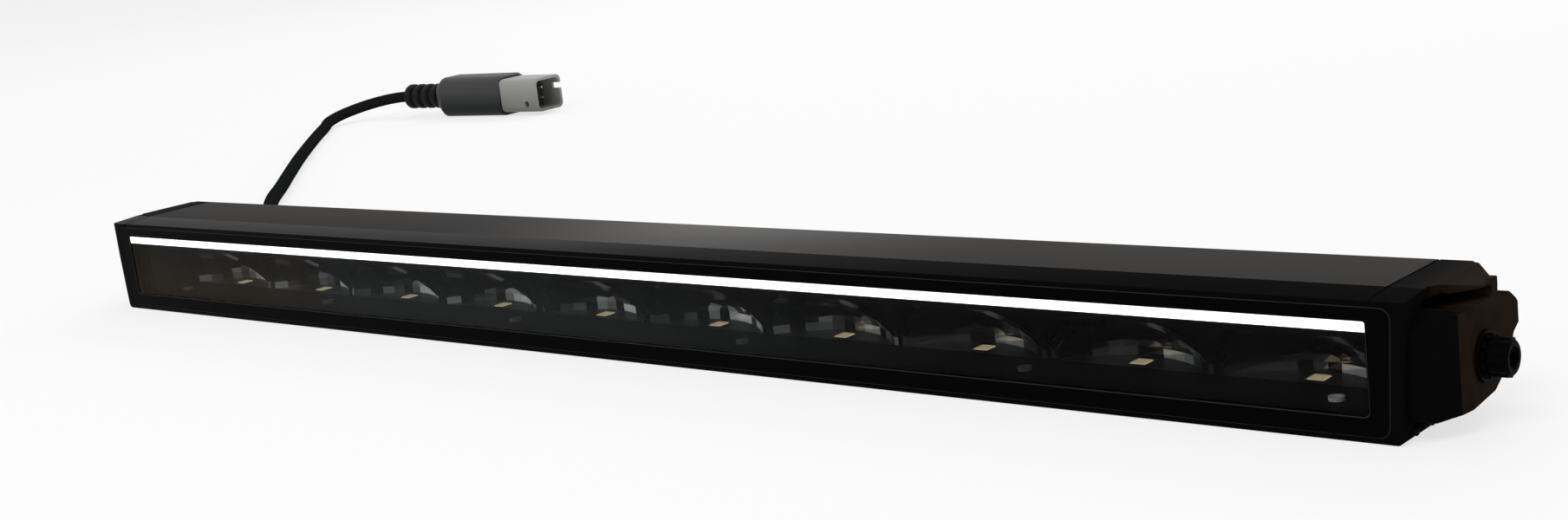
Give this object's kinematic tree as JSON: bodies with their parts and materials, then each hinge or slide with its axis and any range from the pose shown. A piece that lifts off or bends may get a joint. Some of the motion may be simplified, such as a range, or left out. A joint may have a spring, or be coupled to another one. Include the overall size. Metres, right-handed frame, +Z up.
{
  "type": "driving light bar",
  "caption": "Slim straight LED driving light bar with faceted reflector bowls, a white position light line, end bosses with side bolts and a cable with a sealed plug.",
  "frame": {"origin": "centre of the lamp's own box on the surface it lies on, the free cable and what is on it left out", "axes": "+X along the lamp towards its right end as seen from the front, +Y from the front window to the back, +Z up from the underside to the flat top"},
  "size_m": [0.9503, 0.4597, 0.035],
  "materials": {
    "powder_black": "fine satin black powder coat",
    "rubber_black": "matt black silicone",
    "dark_steel": "blackened steel",
    "zinc_steel": "zinc-plated steel",
    "bezel_black": "gloss black",
    "smoked_lens": "clear polycarbonate with a smoked tint",
    "guide_white": "milky white, lit",
    "trim_black": "satin black",
    "board_green": "green solder mask",
    "board_white": "white solder mask on an aluminium board",
    "led_white": "small white packages",
    "led_yellow": "pale yellow phosphor in a white frame",
    "reflector_mirror": "vacuum-metallised plastic",
    "pad_grey": "matt grey heat-conducting pad",
    "component_black": "moulded black",
    "capacitor_metal": "plain can",
    "lead_red": "red insulation",
    "cable_black": "satin black jacket",
    "slate_rubber": "matt dark slate overmoulding",
    "plug_grey": "satin light warm grey",
    "pin_brass": "tinned brass"
  },
  "bodies": {
    "root": {"housing": "powder_black", "end_cap_left": "powder_black", "end_cap_right": "powder_black", "cap_gaskets": "rubber_black", "cap_screws": "dark_steel", "boss_inserts": "zinc_steel", "side_bolts": "dark_steel", "toothed_washers": "dark_steel", "plain_washers": "dark_steel", "bezel": "bezel_black", "lens": "smoked_lens", "lens_seal": "rubber_black", "light_guide": "guide_white", "guide_holder": "trim_black", "guide_cover": "trim_black", "strip_board": "board_green", "strip_leds": "led_white", "reflectors": "reflector_mirror", "reflector_screws": "zinc_steel", "led_board": "board_white", "led_packages": "led_yellow", "thermal_pad": "pad_grey", "floor_trim": "trim_black", "trim_screws": "zinc_steel", "driver_board": "board_green", "driver_coils": "component_black", "driver_capacitors": "capacitor_metal", "driver_chips": "component_black", "driver_screws": "zinc_steel", "supply_leads": "lead_red", "breather_vent": "trim_black", "cable_gland": "trim_black", "gland_nut": "trim_black", "gland_locknut": "trim_black", "strain_relief": "rubber_black", "cable": "cable_black", "plug_boot": "slate_rubber", "plug_body": "slate_rubber", "plug_shell": "plug_grey", "plug_insert": "component_black", "plug_pins": "pin_brass"}
  },
  "joints": []
}
